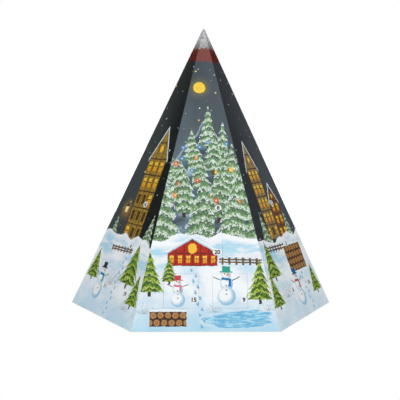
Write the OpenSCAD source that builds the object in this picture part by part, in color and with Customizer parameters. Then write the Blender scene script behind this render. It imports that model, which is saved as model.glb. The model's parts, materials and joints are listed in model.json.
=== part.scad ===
// Incense cone advent calendar: a six-sided card pyramid shaped like a giant incense cone.
// Four numbered doors in each face open on pockets of a card rack, with an incense cone in each,
// and a small tin smoking house waits in the core, over a hatch in the base.
// Millimetres, +Z up, origin on the ground under the tip, front face towards -Y.

/* [Pyramid] */
// Length of one side of the six-sided foot
base_side = 170; // [155:1:200]
// Height of the sharp point that the six faces run to
peak_height = 357; // [320:1:420]
// Height lost where the tip is blunted
tip_blunt = 2.4; // [2:0.1:6]
// Thickness of the printed board
board_t = 1; // [0.6:0.1:1.4]

/* [Doors] */
// Width of a door
door_w = 40; // [30:1:44]
// Height of a door, measured up the face
door_h = 40; // [30:1:46]
// Board between the two lower doors of a face
door_spread = 16; // [8:1:22]
// Board under the lower doors, measured up the face
lower_sill = 27; // [20:1:36]
// Board between the lower doors and the middle door, measured up the face
lower_row_gap = 16; // [12:1:30]
// Board between the middle door and the upper door, measured up the face
upper_row_gap = 14; // [9:1:24]
// Sideways place of the middle door, from the middle of its face
middle_shift = 0; // [-14:1:14]
// Width of the cut round a door or the hatch
cut_gap = 0.15; // [0.1:0.05:0.5]
// Radius of the rounded crease that a door or the hatch turns on
crease_r = 0.3; // [0.2:0.05:0.4]

/* [Base] */
// Width of the hatch, along its crease
hatch_w = 84; // [74:1:100]
// Depth of the hatch, away from its crease
hatch_d = 70; // [62:1:90]
// Radius of the finger notch in the hatch
notch_r = 9; // [6:0.5:12]
// Room behind the hatch's crease, for the turned hatch
hatch_play = 0.5; // [0.4:0.05:0.8]
// Width of the glue tabs that fold in under the rack
tab_w = 14; // [8:1:18]
// Width of the glue flap along the back seam
seam_w = 12; // [6:1:14]
// Height at which the glue flap ends
seam_top = 315; // [200:1:318]

/* [Rack] */
// Thickness of the rack's card
card_t = 1.2; // [0.8:0.1:1.6]
// Depth of a pocket, at the top edge of its door
pocket_depth = 34; // [26:1:38]
// Step from a pocket's floor up to its door
sill_drop = 4; // [2:0.5:5]
// Room over the upper doors, under the cover
head_room = 5; // [3:0.5:12]
// Play between the rack and the seam flap
rack_play = 0.3; // [0.2:0.05:0.6]

/* [Incense cones] */
// Diameter of a cone at its foot
cone_d = 13; // [10:0.5:15]
// Height of a cone
cone_h = 28; // [20:1:33]
// Radius of a cone's rounded tip
cone_tip_r = 1.6; // [1:0.1:2.4]
// Height of the straight rim at a cone's foot
cone_rim_h = 2; // [1:0.5:4]
// Space between a cone and the pocket's back
cone_back_gap = 6; // [2:0.5:9]
// Space between a cone and the line of its door's nearer edge
cone_side_gap = 2; // [1:0.5:5]

/* [Smoking house] */
// Width of the house over its walls
house_w = 52; // [46:1:56]
// Depth of the house over its walls
house_d = 40; // [36:1:44]
// Height of the walls at the eaves
eaves_h = 28; // [24:1:32]
// Rise of the roof from the eaves to the ridge
roof_rise = 15; // [10:1:18]
// Overhang of the roof past the walls
overhang = 3; // [2:0.5:4]
// Thickness of the tin
tin_t = 0.8; // [0.5:0.1:1]
// Side of the square chimney
chimney_w = 11; // [9:0.5:13]
// Place of the chimney along the ridge, from the middle of the house
chimney_x = 12; // [-14:1:14]
// Height of the chimney over the ridge
chimney_over = 5; // [2:0.5:7]
// Width of the doorway
doorway_w = 15; // [12:0.5:18]
// Height of the doorway to the top of its arch
doorway_h = 21; // [18:0.5:22]
// Width of a window
window_w = 8; // [5:0.5:10]
// Height of a window
window_h = 9; // [6:0.5:11]
// Height of the window sills over the house's tray
window_sill = 9; // [7:0.5:11]
// Height of the tray's rim and of its cup
rim_h = 4; // [2:0.5:6]
// Play between the house's pieces, and between the cup and a cone
tin_play = 0.3; // [0.2:0.05:0.5]
// Room round the roof where the house passes the lower floor
passage = 2; // [1:0.5:4]

/* [Hidden] */
$fn = 64;
sides = 6;
turn = 360 / sides;
over = 1;
apothem = base_side * cos(turn / 2);
lean = atan2(peak_height, apothem);
slant = norm([apothem, peak_height]);
tip_z = peak_height - tip_blunt;

face_names = ["front", "front_right", "back_right", "back", "back_left", "front_left"];
seam_face = 3;

// Doors of a face as [middle across, lower edge, side of the crease].
lower_x = (door_spread + door_w) / 2;
middle_sill = lower_sill + door_h + lower_row_gap;
upper_sill = middle_sill + door_h + upper_row_gap;
door_places = [
    [-lower_x, lower_sill, -1],
    [lower_x, lower_sill, 1],
    [middle_shift, middle_sill, -1],
    [0, upper_sill, -1]
];
// Day numbers of those doors, face by face.
days = [
    [15, 9, 20, 8],
    [6, 18, 3, 12],
    [21, 1, 14, 7],
    [10, 24, 5, 17],
    [2, 13, 22, 23],
    [11, 19, 4, 16]
];

// Levels of the rack: the tops of its floors and the underside of its cover.
lower_floor_z = rise(lower_sill) - sill_drop;
middle_floor_z = rise(middle_sill) - sill_drop;
upper_floor_z = rise(upper_sill) - sill_drop;
cover_z = rise(upper_sill + door_h) + head_room;
rack_inset = 2 * board_t + rack_play;
lower_band_a = band_apothem(lower_sill);
middle_band_a = band_apothem(middle_sill);
upper_band_a = band_apothem(upper_sill);

// Levels of the house, over the hatch that it stands on.
tray_z = board_t;
walls_z = tray_z + tin_t;
roof_slope = atan2(roof_rise, house_d / 2);
roof_skin = tin_t / cos(roof_slope);
ridge_z = eaves_h + roof_rise + tin_play + roof_skin;
passage_w = house_w + 2 * (overhang + passage);
passage_d = house_d + 2 * (overhang + passage);

scents = ["black", "green", "brown", "red"];
scent_colors = ["#2b2725", "#4f6b3c", "#7a5234", "#8a2f2a"];

function panel_name(k) = str("panel_", face_names[k]);
function door_name(k, j) = str("door_", days[k][j] < 10 ? "0" : "", days[k][j]);
function cone_name(s) = str("cones_", s);

// Height over the ground of a distance measured up a face.
function rise(v) = v * sin(lean);

// Distance from the axis to a wall at height z, or to a plane set in behind it.
function apothem_at(z, inset = 0) = apothem * (1 - z / peak_height) - inset / sin(lean);

// Outer apothem of the band behind a row of doors.
function band_apothem(sill) = apothem_at(rise(sill + door_h), board_t) - pocket_depth;

// Places what is drawn flat, with x across, y up the face and z outwards, on face k.
module on_face(k) {
    rotate([0, 0, turn * k])
        translate([0, -apothem, 0])
            rotate([lean, 0, 0])
                children();
}

// Upright wedge of the pyramid that belongs to face k, from height z0 to z1.
module sector(k, z0, z1) {
    reach = base_side;
    half = reach * tan(turn / 2);
    rotate([0, 0, turn * k])
        translate([0, 0, z0])
            linear_extrude(z1 - z0)
                polygon([[0, 0], [-half, -reach], [half, -reach]]);
}

// Solid space inside the six walls, set in by a distance square to them.
module inside(inset) {
    cylinder(
        h = peak_height - inset / cos(lean),
        r1 = apothem_at(0, inset) / cos(turn / 2),
        r2 = 0,
        $fn = sides
    );
}

// Six-sided prism by its apothem.
module hex(a, z0, z1) {
    translate([0, 0, z0])
        cylinder(h = z1 - z0, r = a / cos(turn / 2), $fn = sides);
}

// Level sheet of card whose edge follows the walls.
module level_sheet(inset, z0, z1) {
    intersection() {
        inside(inset);
        hex(apothem, z0, z1);
    }
}

// Opening for a door, with the cut round it and room for the crease.
module door_hole(place) {
    crease_gap = crease_r + cut_gap;
    left = place[2] < 0 ? crease_gap : cut_gap;
    right = place[2] < 0 ? cut_gap : crease_gap;
    translate([place[0] - door_w / 2 - left, place[1] - cut_gap, -board_t - over])
        cube([door_w + left + right, door_h + 2 * cut_gap, board_t + 2 * over]);
}

// One printed wall, mitred to its neighbours at the folds.
module panel(k) {
    color(k == 0 ? "#59616b" : "#3a3d42")
        difference() {
            intersection() {
                on_face(k)
                    translate([-base_side, -board_t, -board_t])
                        cube([2 * base_side, slant + board_t, board_t]);
                sector(k, 0, tip_z);
            }
            on_face(k)
                for (place = door_places)
                    door_hole(place);
        }
}

// One door: a plate of the same board, with its rounded crease on the outer surface.
module door(k, j) {
    place = door_places[j];
    color(j < 2 ? "#dfe9f1" : "#4b525b")
        on_face(k)
            translate([place[0], place[1], 0]) {
                translate([-door_w / 2, 0, -board_t])
                    cube([door_w, door_h, board_t]);
                translate([place[2] * door_w / 2, 0, 0])
                    rotate([-90, 0, 0])
                        cylinder(h = door_h, r = crease_r);
            }
}

// Glue flap of the wall past the seam, stuck to the inside of the back wall.
module seam_flap() {
    foot = 2 * board_t + rack_play;
    color("#cfc9be")
        intersection() {
            on_face(seam_face)
                translate([0, 0, -2 * board_t])
                    linear_extrude(board_t)
                        polygon([
                            [base_side / 2 - seam_w, 0],
                            [base_side / 2, 0],
                            [0, slant],
                            [-seam_w, slant]
                        ]);
            sector(seam_face, foot, seam_top);
            inside(board_t);
        }
}

// Base of the pyramid, with the opening for the hatch.
module base_panel() {
    color("#e9e6df")
        difference() {
            level_sheet(board_t, 0, board_t);
            translate([-hatch_w / 2 - cut_gap, -hatch_d / 2 - cut_gap, -over])
                cube([
                    hatch_w + 2 * cut_gap,
                    hatch_d + cut_gap + crease_r + hatch_play,
                    board_t + 2 * over
                ]);
        }
}

// Glue tabs folded in from the foot of each wall on to the base.
module base_tabs() {
    inner_a = apothem_at(0, board_t) - tab_w;
    half = inner_a * tan(turn / 2) - tab_w / 2;
    color("#d8d3c8")
        for (k = [0:sides - 1])
            intersection() {
                level_sheet(board_t, board_t, 2 * board_t);
                rotate([0, 0, turn * k])
                    linear_extrude(3 * board_t)
                        polygon([
                            [-half, -inner_a],
                            [half, -inner_a],
                            [half + tab_w / 2, -apothem],
                            [-half - tab_w / 2, -apothem]
                        ]);
            }
}

// Hatch in the base, creased at the back, with a half-round finger notch at the front.
module hatch() {
    color("#e2ded5")
        difference() {
            union() {
                translate([-hatch_w / 2, -hatch_d / 2, 0])
                    cube([hatch_w, hatch_d, board_t]);
                translate([-hatch_w / 2, hatch_d / 2, crease_r])
                    rotate([0, 90, 0])
                        cylinder(h = hatch_w, r = crease_r);
            }
            translate([0, -hatch_d / 2, -over])
                cylinder(h = board_t + 2 * over, r = notch_r);
        }
}

// Folded strip of card that closes the backs of a ring of pockets.
module band(a, z0, z1) {
    color("#c9c2b4")
        difference() {
            hex(a, z0, z1);
            hex(a - card_t, z0 - over, z1 + over);
        }
}

module plinth_band() {
    band(lower_band_a, board_t, lower_floor_z - card_t);
}

module lower_band() {
    band(lower_band_a, lower_floor_z, middle_floor_z - card_t);
}

module middle_band() {
    band(middle_band_a, middle_floor_z, upper_floor_z - card_t);
}

module upper_band() {
    band(upper_band_a, upper_floor_z, cover_z);
}

// Lower floor, with the passage that keeps the house in the middle.
module lower_floor() {
    color("#d6d0c4")
        difference() {
            level_sheet(rack_inset, lower_floor_z - card_t, lower_floor_z);
            translate([-passage_w / 2, -passage_d / 2, lower_floor_z - card_t - over])
                cube([passage_w, passage_d, card_t + 2 * over]);
        }
}

module middle_floor() {
    color("#d6d0c4")
        level_sheet(rack_inset, middle_floor_z - card_t, middle_floor_z);
}

module upper_floor() {
    color("#d6d0c4")
        level_sheet(rack_inset, upper_floor_z - card_t, upper_floor_z);
}

module top_cover() {
    color("#d6d0c4")
        level_sheet(rack_inset, cover_z, cover_z + card_t);
}

// Upright cards between a band and the walls, one at each step round the axis.
module dividers(a, z0, z1, step) {
    color("#cdc6b8")
        for (angle = [0:step:359])
            difference() {
                intersection() {
                    inside(rack_inset);
                    rotate([0, 0, angle])
                        translate([0, -card_t / 2, z0])
                            cube([base_side, card_t, z1 - z0]);
                }
                hex(a, z0 - over, z1 + over);
            }
}

module lower_dividers() {
    dividers(lower_band_a, lower_floor_z, middle_floor_z - card_t, turn / 2);
}

module middle_dividers() {
    dividers(middle_band_a, middle_floor_z, upper_floor_z - card_t, turn);
}

module upper_dividers() {
    dividers(upper_band_a, upper_floor_z, cover_z, turn);
}

// Pressed incense cone: a straight rim, a plain taper and a rounded tip.
module incense_cone() {
    tip_steps = 4;
    rotate_extrude()
        polygon(concat(
            [[0, 0], [cone_d / 2, 0], [cone_d / 2, cone_rim_h]],
            [for (i = [0:tip_steps - 1]) let (a = 90 * i / tip_steps)
                [cone_tip_r * cos(a), cone_h - cone_tip_r * (1 - sin(a))]],
            [[0, cone_h]]
        ));
}

// Cones of one scent: the pocket behind the same door of each face.
module cones(j) {
    places = [
        [-door_spread / 2 - cone_side_gap - cone_d / 2, lower_band_a, lower_floor_z],
        [door_spread / 2 + cone_side_gap + cone_d / 2, lower_band_a, lower_floor_z],
        [middle_shift - door_w / 2 + cone_side_gap + cone_d / 2, middle_band_a, middle_floor_z],
        [-door_w / 2 + cone_side_gap + cone_d / 2, upper_band_a, upper_floor_z]
    ];
    place = places[j];
    color(scent_colors[j])
        for (k = [0:sides - 1])
            rotate([0, 0, turn * k])
                translate([place[0], -place[1] - cone_back_gap - cone_d / 2, place[2]])
                    incense_cone();
}

// Space under a gabled roof line that is lifted off the walls, along the ridge.
module gable_space(length, half, lift) {
    eaves = eaves_h + roof_rise * (1 - 2 * half / house_d) + lift;
    translate([-length / 2, 0, 0])
        rotate([90, 0, 90])
            linear_extrude(length)
                polygon([
                    [-half, 0],
                    [half, 0],
                    [half, eaves],
                    [0, eaves_h + roof_rise + lift],
                    [-half, eaves]
                ]);
}

// Tin tray of the house, with a rim inside the walls and a cup for the burning cone.
module house_tray() {
    rim_inset = tin_t + tin_play;
    rim_w = house_w - 2 * rim_inset;
    rim_d = house_d - 2 * rim_inset;
    cup_r = cone_d / 2 + tin_play;
    color("#8d9196")
        translate([0, 0, tray_z]) {
            translate([-house_w / 2, -house_d / 2, 0])
                cube([house_w, house_d, tin_t]);
            difference() {
                translate([-rim_w / 2, -rim_d / 2, 0])
                    cube([rim_w, rim_d, tin_t + rim_h]);
                translate([-rim_w / 2 + tin_t, -rim_d / 2 + tin_t, -over])
                    cube([rim_w - 2 * tin_t, rim_d - 2 * tin_t, tin_t + rim_h + 2 * over]);
            }
            difference() {
                cylinder(h = tin_t + rim_h, r = cup_r + tin_t);
                translate([0, 0, tin_t])
                    cylinder(h = rim_h + over, r = cup_r);
            }
        }
}

// Tin walls of the house, with a doorway in front and windows all round.
module house_walls() {
    window_x = house_w / 2 - window_w - 2 * tin_t;
    color("#a8322c")
        translate([0, 0, walls_z])
            difference() {
                gable_space(house_w, house_d / 2, 0);
                translate([-house_w / 2 + tin_t, -house_d / 2 + tin_t, -over])
                    cube([house_w - 2 * tin_t, house_d - 2 * tin_t, eaves_h + roof_rise + 2 * over]);
                translate([-doorway_w / 2, -house_d / 2 - over, rim_h])
                    cube([doorway_w, tin_t + 2 * over, doorway_h - doorway_w / 2 - rim_h]);
                translate([0, -house_d / 2 - over, doorway_h - doorway_w / 2])
                    rotate([-90, 0, 0])
                        cylinder(h = tin_t + 2 * over, r = doorway_w / 2);
                for (side = [-1, 1])
                    translate([side * window_x - window_w / 2, -house_d / 2 - over, window_sill])
                        cube([window_w, house_d + 2 * over, window_h]);
                translate([-house_w / 2 - over, -window_w / 2, window_sill])
                    cube([house_w + 2 * over, window_w, window_h]);
            }
}

// Tin roof of the house, with the smoke hole under the chimney.
module house_roof() {
    length = house_w + 2 * overhang;
    half = house_d / 2 + overhang;
    bore = chimney_w - 2 * tin_t;
    color("#4a4d52")
        translate([0, 0, walls_z])
            difference() {
                gable_space(length, half, tin_play + roof_skin);
                gable_space(length + 2 * over, half + over, tin_play);
                translate([chimney_x - bore / 2, -bore / 2, 0])
                    cube([bore, bore, ridge_z + over]);
            }
}

// Square tin chimney on the ridge, open at the top.
module house_chimney() {
    bore = chimney_w - 2 * tin_t;
    color("#7d3a33")
        translate([0, 0, walls_z])
            difference() {
                translate([chimney_x - chimney_w / 2, -chimney_w / 2, eaves_h])
                    cube([chimney_w, chimney_w, ridge_z + chimney_over - eaves_h]);
                translate([chimney_x - bore / 2, -bore / 2, 0])
                    cube([bore, bore, ridge_z + chimney_over + over]);
                gable_space(2 * house_w, house_d / 2, tin_play + roof_skin);
            }
}

for (k = [0:sides - 1]) {
    panel(k);
    for (j = [0:len(door_places) - 1])
        door(k, j);
}
seam_flap();
base_panel();
base_tabs();
hatch();
plinth_band();
lower_floor();
lower_band();
lower_dividers();
middle_floor();
middle_band();
middle_dividers();
upper_floor();
upper_band();
upper_dividers();
top_cover();
for (j = [0:len(scents) - 1])
    cones(j);
house_tray();
house_walls();
house_roof();
house_chimney();
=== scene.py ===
import json
import math

import bmesh
import bpy
from mathutils import Matrix, Vector


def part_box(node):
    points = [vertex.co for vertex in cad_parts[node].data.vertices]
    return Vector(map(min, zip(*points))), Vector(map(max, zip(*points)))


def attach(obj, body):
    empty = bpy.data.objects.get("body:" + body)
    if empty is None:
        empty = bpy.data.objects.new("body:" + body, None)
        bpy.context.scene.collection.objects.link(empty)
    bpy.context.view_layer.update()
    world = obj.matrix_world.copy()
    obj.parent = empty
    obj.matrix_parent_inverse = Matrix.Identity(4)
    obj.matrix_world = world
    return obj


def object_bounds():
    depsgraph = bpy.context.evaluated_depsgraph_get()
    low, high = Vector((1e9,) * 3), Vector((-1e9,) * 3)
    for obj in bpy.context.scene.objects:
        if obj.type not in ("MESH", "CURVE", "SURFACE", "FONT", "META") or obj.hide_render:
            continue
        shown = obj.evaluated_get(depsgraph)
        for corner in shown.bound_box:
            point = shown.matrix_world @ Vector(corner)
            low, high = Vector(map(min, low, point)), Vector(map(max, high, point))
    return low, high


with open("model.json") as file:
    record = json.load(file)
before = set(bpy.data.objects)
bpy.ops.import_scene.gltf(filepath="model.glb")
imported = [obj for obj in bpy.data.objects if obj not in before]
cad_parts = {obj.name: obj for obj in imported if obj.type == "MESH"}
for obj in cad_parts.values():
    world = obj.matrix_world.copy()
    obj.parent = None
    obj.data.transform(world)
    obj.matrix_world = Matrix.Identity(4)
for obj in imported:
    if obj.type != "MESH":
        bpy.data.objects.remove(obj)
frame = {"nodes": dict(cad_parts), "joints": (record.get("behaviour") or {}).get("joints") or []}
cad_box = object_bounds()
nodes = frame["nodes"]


# Base, glue tabs, seam flap and hatch.
# They are the unprinted inside of the folding board: off-white, uncoated, with visible fibres.
# The base is glued to six tabs, and the hatch is cut out of it on three sides and creased on the fourth.
def ink(code):
    """Linear colour of a printer's hex code."""
    def linear(part):
        value = int(part, 16) / 255
        return value / 12.92 if value <= 0.04045 else ((value + 0.055) / 1.055) ** 2.4
    return (linear(code[1:3]), linear(code[3:5]), linear(code[5:7]), 1.0)


class Field:
    """A value or colour that changes over a surface, written as in a formula."""

    def __init__(self, tree, socket):
        self.tree = tree
        self.socket = socket

    def calc(self, operation, *values):
        node = self.tree.nodes.new("ShaderNodeMath")
        node.operation = operation
        for slot, value in zip(node.inputs, (self, *values)):
            feed(self.tree, slot, value)
        return Field(self.tree, node.outputs[0])

    def __add__(self, other):
        return self.calc("ADD", other)

    def __sub__(self, other):
        return self.calc("SUBTRACT", other)

    def __mul__(self, other):
        return self.calc("MULTIPLY", other)

    def __truediv__(self, other):
        return self.calc("DIVIDE", other)

    def __rsub__(self, other):
        return self * -1 + other

    def __abs__(self):
        return self.calc("ABSOLUTE")

    def __or__(self, other):
        return self.calc("MAXIMUM", other)

    __radd__ = __add__
    __rmul__ = __mul__

    def ramp(self, low, high):
        """0 up to low and 1 from high, smooth between them."""
        node = self.tree.nodes.new("ShaderNodeMapRange")
        node.interpolation_type = "SMOOTHSTEP"
        node.clamp = False
        for slot, value in zip(node.inputs, (self, low, high)):
            feed(self.tree, slot, value)
        return Field(self.tree, node.outputs[0])

    def inside(self, blur):
        """1 inside an edge and 0 outside, for a field that gives the way in from the edge."""
        return self.ramp(-blur, blur)


def feed(tree, socket, value):
    """Links a field to a socket, or sets the socket's own value."""
    if isinstance(value, Field):
        tree.links.new(value.socket, socket)
    else:
        socket.default_value = value


def noise(tree, place, scale, detail=2.0, rough=0.5, flat=False):
    node = tree.nodes.new("ShaderNodeTexNoise")
    node.noise_dimensions = "2D" if flat else "3D"
    feed(tree, node.inputs["Vector"], place)
    node.inputs["Scale"].default_value = scale
    node.inputs["Detail"].default_value = detail
    node.inputs["Roughness"].default_value = rough
    return Field(tree, node.outputs[0])


def stretched(tree, place, scale):
    node = tree.nodes.new("ShaderNodeMapping")
    feed(tree, node.inputs["Vector"], place)
    node.inputs["Scale"].default_value = scale
    return Field(tree, node.outputs[0])


def lay(mask, under, over):
    """Colour with another laid over it where the mask is 1."""
    node = mask.tree.nodes.new("ShaderNodeMix")
    node.data_type = "RGBA"
    for slot, value in zip((0, 6, 7), (mask, under, over)):
        feed(mask.tree, node.inputs[slot], value)
    return Field(mask.tree, node.outputs[2])


def new_group(name, takes, gives):
    """A shader node group, its inputs as fields and its output sockets."""
    kinds = {"f": "NodeSocketFloat", "v": "NodeSocketVector", "c": "NodeSocketColor"}
    group = bpy.data.node_groups.new(name, "ShaderNodeTree")
    for side, words in (("INPUT", takes), ("OUTPUT", gives)):
        for word in words.split():
            label, kind = word.split(":")
            group.interface.new_socket(label, in_out=side, socket_type=kinds[kind])
    source = group.nodes.new("NodeGroupInput")
    sink = group.nodes.new("NodeGroupOutput")
    fields = [Field(group, out) for out in source.outputs if out.name]
    return group, fields, sink.inputs


def placed(tree, group, **values):
    """The outputs of a group placed in a material with its own values."""
    node = tree.nodes.new("ShaderNodeGroup")
    node.node_tree = group
    for label, value in values.items():
        feed(tree, node.inputs[label], value)
    return [Field(tree, out) for out in node.outputs]


def new_material(name):
    """A material, its tree, its shader and the object's own coordinates."""
    made = bpy.data.materials.new(name)
    made.use_nodes = True
    tree = made.node_tree
    shader = tree.nodes["Principled BSDF"]
    place = Field(tree, tree.nodes.new("ShaderNodeTexCoord").outputs["Object"])
    return made, tree, shader, place


def dress(node, material):
    """Puts a material on a node of the frame."""
    node.data.materials.clear()
    node.data.materials.append(material)


def raise_grain(tree, shader, height, depth):
    bump = tree.nodes.new("ShaderNodeBump")
    bump.inputs["Distance"].default_value = depth
    bump.inputs["Strength"].default_value = 1.0
    feed(tree, bump.inputs["Height"], height)
    tree.links.new(bump.outputs["Normal"], shader.inputs["Normal"])


card_fibre, (place,), out = new_group("card_fibre", "Place:v", "Tone:f Fleck:f Height:f")
long_fibre = noise(card_fibre, stretched(card_fibre, place, (500, 2200, 500)), 1.0, 3.0, 0.6)
cross_fibre = noise(card_fibre, stretched(card_fibre, place, (2000, 420, 2000)), 1.0, 3.0, 0.6)
cloud = noise(card_fibre, place, 45.0, 3.0, 0.55)
speck = noise(card_fibre, place, 900.0, 1.0, 0.5)
fibre = (long_fibre + cross_fibre) * 0.5
feed(card_fibre, out["Tone"], (fibre * 0.6 + cloud * 0.4).ramp(0.3, 0.7))
feed(card_fibre, out["Fleck"], speck.ramp(0.7, 0.76))
feed(card_fibre, out["Height"], fibre)


def card_material(name, dark, light, fleck):
    """Uncoated card between two tones, with flecks of waste paper."""
    made, tree, shader, place = new_material(name)
    tone, flecks, height = placed(tree, card_fibre, Place=place)
    colour = lay(flecks * 0.6, lay(tone, ink(dark), ink(light)), ink(fleck))
    feed(tree, shader.inputs["Base Color"], colour)
    feed(tree, shader.inputs["Roughness"], tone * 0.12 + 0.8)
    shader.inputs["Specular IOR Level"].default_value = 0.25
    raise_grain(tree, shader, height, depth=0.00006)
    return made


raw_board = card_material("raw_board", "#cfcabf", "#e6e2d9", "#a69d8c")
for name in ("base_panel", "base_tabs", "seam_flap", "hatch"):
    dress(nodes[name], raw_board)


# Card rack behind the doors.
# Floors, folded bands and upright dividers of grey recycled card make a pocket for every day.
# The pieces are stuck edge to face and pushed up into the shell from below.
rack_card = card_material("rack_card", "#a8a091", "#c4bcae", "#6f675b")
rack_names = ["plinth_band", "top_cover"]
for level in ("lower", "middle", "upper"):
    rack_names += [f"{level}_floor", f"{level}_band", f"{level}_dividers"]
for name in rack_names:
    dress(nodes[name], rack_card)


# Incense cones, one to a pocket.
# Charcoal and wood powder is kneaded with resin and pressed in a mould, so the skin is dull and grainy.
# Each scent has its own colour.
pressed_powder, (place,), out = new_group("pressed_powder", "Place:v", "Tone:f Grain:f Height:f")
crumb = noise(pressed_powder, place, 1400.0, 3.0, 0.65)
smear = noise(pressed_powder, stretched(pressed_powder, place, (300, 300, 90)), 1.0, 2.0, 0.5)
feed(pressed_powder, out["Tone"], (crumb * 0.45 + smear * 0.55).ramp(0.32, 0.68))
feed(pressed_powder, out["Grain"], crumb.ramp(0.6, 0.72))
feed(pressed_powder, out["Height"], crumb)

scents = {
    "black": ("#1d1a19", "#3a3533", "#6a645f"),
    "green": ("#3a4a2b", "#5d7246", "#93a276"),
    "brown": ("#56391f", "#83603c", "#b3946a"),
    "red": ("#5c211c", "#8d3f35", "#bd7c6c"),
}
for scent, (dark, light, crumbs) in scents.items():
    made, tree, shader, place = new_material(f"incense_{scent}")
    tone, grain, height = placed(tree, pressed_powder, Place=place)
    powder = lay(tone, ink(dark), ink(light))
    feed(tree, shader.inputs["Base Color"], lay(grain * 0.5, powder, ink(crumbs)))
    feed(tree, shader.inputs["Roughness"], grain * 0.1 + 0.85)
    shader.inputs["Specular IOR Level"].default_value = 0.2
    raise_grain(tree, shader, height, depth=0.0002)
    dress(nodes[f"cones_{scent}"], made)


# Tin smoking house in the core.
# Walls, roof and chimney are bent tin plate, enamelled; the tray with its cup for the cone is bare.
# The enamel is worn through to the tin in small scuffs.
enamel_wear, (place,), out = new_group("enamel_wear", "Place:v", "Tone:f Wear:f Height:f")
orange_peel = noise(enamel_wear, place, 700.0, 2.0, 0.5)
scuff = noise(enamel_wear, place, 240.0, 4.0, 0.7)
feed(enamel_wear, out["Tone"], noise(enamel_wear, place, 60.0, 2.0, 0.5).ramp(0.3, 0.7))
feed(enamel_wear, out["Wear"], scuff.ramp(0.71, 0.76))
feed(enamel_wear, out["Height"], orange_peel)


def enamel(name, dark, light):
    """Enamelled tin, worn to bare metal in small scuffs."""
    made, tree, shader, place = new_material(name)
    tone, wear, height = placed(tree, enamel_wear, Place=place)
    coat = lay(tone, ink(dark), ink(light))
    feed(tree, shader.inputs["Base Color"], lay(wear, coat, ink("#b9bcc0")))
    feed(tree, shader.inputs["Metallic"], wear)
    feed(tree, shader.inputs["Roughness"], tone * 0.08 + 0.34)
    raise_grain(tree, shader, height, depth=0.00003)
    return made


dress(nodes["house_walls"], enamel("red_enamel", "#7e1f1a", "#a02a22"))
dress(nodes["house_roof"], enamel("slate_enamel", "#2c2f33", "#44484d"))
dress(nodes["house_chimney"], enamel("brick_enamel", "#5e2a23", "#7d3d33"))

bright_tin, tree, shader, place = new_material("bright_tin")
tone, wear, _ = placed(tree, enamel_wear, Place=place)
rolled = noise(tree, stretched(tree, place, (60, 1600, 1600)), 1.0, 3.0, 0.6)
tin = lay(tone, ink("#a9adb1"), ink("#c9ccce"))
feed(tree, shader.inputs["Base Color"], lay(wear * 0.5, tin, ink("#85888c")))
shader.inputs["Metallic"].default_value = 1.0
feed(tree, shader.inputs["Roughness"], rolled * 0.25 + tone * 0.08 + 0.2)
raise_grain(tree, shader, rolled, depth=0.00002)
dress(nodes["house_tray"], bright_tin)


# Printed shell and its doors.
# One sheet of white folding board is printed, cut, creased and folded into six walls; the doors are cut
# in the same sheet, so the picture runs on across them. The print is satin, the cut edges are raw board.
MM = 1000.0
base_side = cad_box[1].x * MM
apothem = cad_box[1].y * MM
crease = next(joint for joint in frame["joints"] if joint["child"] == "door_09")
rise = Vector(crease["axis"])
lean = math.atan2(rise.z, rise.y)
slant = apothem / math.cos(lean)


def vector(tree, x, y, z=0.0):
    node = tree.nodes.new("ShaderNodeCombineXYZ")
    for slot, value in zip(node.inputs, (x, y, z)):
        feed(tree, slot, value)
    return Field(tree, node.outputs[0])


def parts(field, kind="XYZ"):
    node = field.tree.nodes.new("ShaderNodeSeparate" + kind)
    feed(field.tree, node.inputs[0], field)
    return [Field(field.tree, out) for out in node.outputs]


def ripple(tree, way, detail=2.0, rough=0.5):
    """Noise along a line."""
    node = tree.nodes.new("ShaderNodeTexNoise")
    node.noise_dimensions = "1D"
    feed(tree, node.inputs["W"], way)
    node.inputs["Scale"].default_value = 1.0
    node.inputs["Detail"].default_value = detail
    node.inputs["Roughness"].default_value = rough
    return Field(tree, node.outputs[0])


def dice(tree, number):
    """Three random values for a whole number."""
    node = tree.nodes.new("ShaderNodeTexWhiteNoise")
    node.noise_dimensions = "1D"
    feed(tree, node.inputs["W"], number)
    return parts(Field(tree, node.outputs["Color"]), "Color")


def distance(x, y):
    return (x * x + y * y).calc("SQRT")


# Where a spot lies on its face, in millimetres across and up the slant, as an unsteady hand sees it;
# how deep it lies in the board and how far from a fold; and six kinds of brush mark.
hand = dict(scale=0.22, detail=2.0, rough=0.6, flat=True)
hand_wobble = 1.8
face_step = 700.0
tremble_step = 91.0
face_map, (place, turn), out = new_group(
    "face_map", "Place:v Turn:f",
    "Across:f Up:f Depth:f Fold:f Floor:f Broad:f Brush:f Drift:f Streak:f Grain:f Mottle:f")
spin = face_map.nodes.new("ShaderNodeVectorRotate")
spin.rotation_type = "Z_AXIS"
feed(face_map, spin.inputs["Vector"], place)
feed(face_map, spin.inputs["Angle"], turn * -1)
x, y, z = parts(Field(face_map, spin.outputs[0]))
across = x * MM
up = z * (MM / math.sin(lean))
along = across + turn * face_step
sheet = vector(face_map, along, up)
sway = noise(face_map, sheet, **hand)
tremble = noise(face_map, vector(face_map, along + tremble_step, up), **hand)
feed(face_map, out["Across"], across + (sway - 0.5) * hand_wobble)
feed(face_map, out["Up"], up + (tremble - 0.5) * hand_wobble)
feed(face_map, out["Depth"], (y * MM + apothem) * math.sin(lean) - z * (MM * math.cos(lean)))
feed(face_map, out["Fold"], (1 - up / slant) * (base_side / 2) - abs(across))
feed(face_map, out["Floor"], up)
paint_marks = {
    "Broad": ((0.025, 0.025, 1), 3.0, 0.55),
    "Brush": ((0.5, 0.06, 1), 3.0, 0.6),
    "Drift": ((0.022, 0.075, 1), 3.0, 0.55),
    "Streak": ((0.09, 0.5, 1), 3.0, 0.6),
    "Grain": ((0.9, 0.4, 1), 3.0, 0.7),
    "Mottle": ((0.3, 0.22, 1), 4.0, 0.7),
}
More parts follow.
